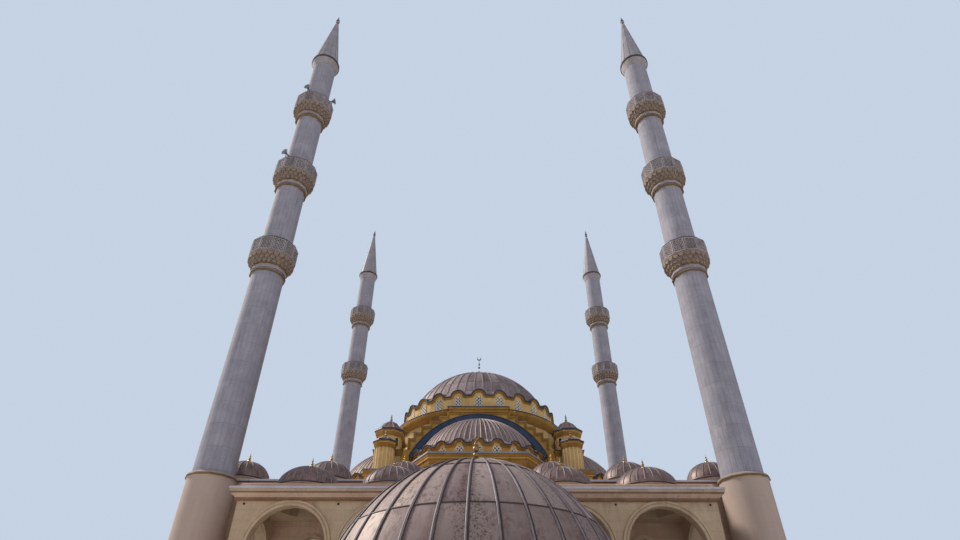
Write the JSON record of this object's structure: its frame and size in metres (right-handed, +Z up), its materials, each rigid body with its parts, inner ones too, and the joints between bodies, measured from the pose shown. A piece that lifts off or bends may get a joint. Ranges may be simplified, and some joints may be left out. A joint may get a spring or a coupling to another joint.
{
  "type": "mosque building, 1:2 scale model",
  "caption": "Mosque at half its real size: main dome over stepped arches and half domes, small roof domes, arcaded portico, domed forecourt pavilion and tall minarets.",
  "frame": {"origin": "on the ground under the middle of the main dome, on the underside of the podium", "axes": "+Z up, the portico and the forecourt pavilion towards -Y, +X to the right of someone who faces the portico"},
  "size_m": [18.0474, 26.6064, 30],
  "materials": {
    "cream_plaster": "weathered cream plaster and stone with ochre cornices",
    "portico_stone": "beige stone with pinkish and ochre bands",
    "podium_stone": "plain grey-beige paving stone",
    "minaret_stone": "light warm grey stone with fine joints",
    "lead_sheet": "patinated lead sheet with rolled seams over a masonry shell",
    "patinated_lead": "patchy grey and brown lead sheet with thick rolled seams over a masonry shell"
  },
  "bodies": {
    "root": {"podium": "podium_stone", "front_wall_lower": "cream_plaster", "front_wall_upper": "cream_plaster", "rear_wall": "cream_plaster", "left_wall_lower": "cream_plaster", "left_wall_upper": "cream_plaster", "right_wall_lower": "cream_plaster", "right_wall_upper": "cream_plaster", "pier_front_left": "cream_plaster", "pier_front_right": "cream_plaster", "pier_rear_left": "cream_plaster", "pier_rear_right": "cream_plaster", "roof_front": "cream_plaster", "half_dome_base_front": "cream_plaster", "half_dome_front": "lead_sheet", "great_arch_front": "cream_plaster", "hall_column_front_first": "cream_plaster", "hall_column_front_second": "cream_plaster", "roof_right": "cream_plaster", "half_dome_base_right": "cream_plaster", "half_dome_right": "lead_sheet", "great_arch_right": "cream_plaster", "hall_column_right_first": "cream_plaster", "hall_column_right_second": "cream_plaster", "roof_rear": "cream_plaster", "half_dome_base_rear": "cream_plaster", "half_dome_rear": "lead_sheet", "great_arch_rear": "cream_plaster", "roof_left": "cream_plaster", "half_dome_base_left": "cream_plaster", "half_dome_left": "lead_sheet", "great_arch_left": "cream_plaster", "hall_column_left_first": "cream_plaster", "hall_column_left_second": "cream_plaster", "drum_base": "cream_plaster", "main_drum": "cream_plaster", "main_dome": "lead_sheet", "tall_turret_front_left": "cream_plaster", "low_turret_front_left": "cream_plaster", "tall_turret_front_right": "cream_plaster", "low_turret_front_right": "cream_plaster", "tall_turret_rear_left": "cream_plaster", "low_turret_rear_left": "cream_plaster", "tall_turret_rear_right": "cream_plaster", "low_turret_rear_right": "cream_plaster", "portico_front_arcade": "portico_stone", "portico_left_arcade": "portico_stone", "portico_right_arcade": "portico_stone", "portico_roof": "portico_stone", "pavilion_plinth": "podium_stone", "pavilion_arcade": "portico_stone", "pavilion_dome": "patinated_lead", "minaret_front_left": "minaret_stone", "minaret_spire_front_left": "lead_sheet", "minaret_front_right": "minaret_stone", "minaret_spire_front_right": "lead_sheet", "minaret_rear_left": "minaret_stone", "minaret_spire_rear_left": "lead_sheet", "minaret_rear_right": "minaret_stone", "minaret_spire_rear_right": "lead_sheet"}
  },
  "joints": []
}
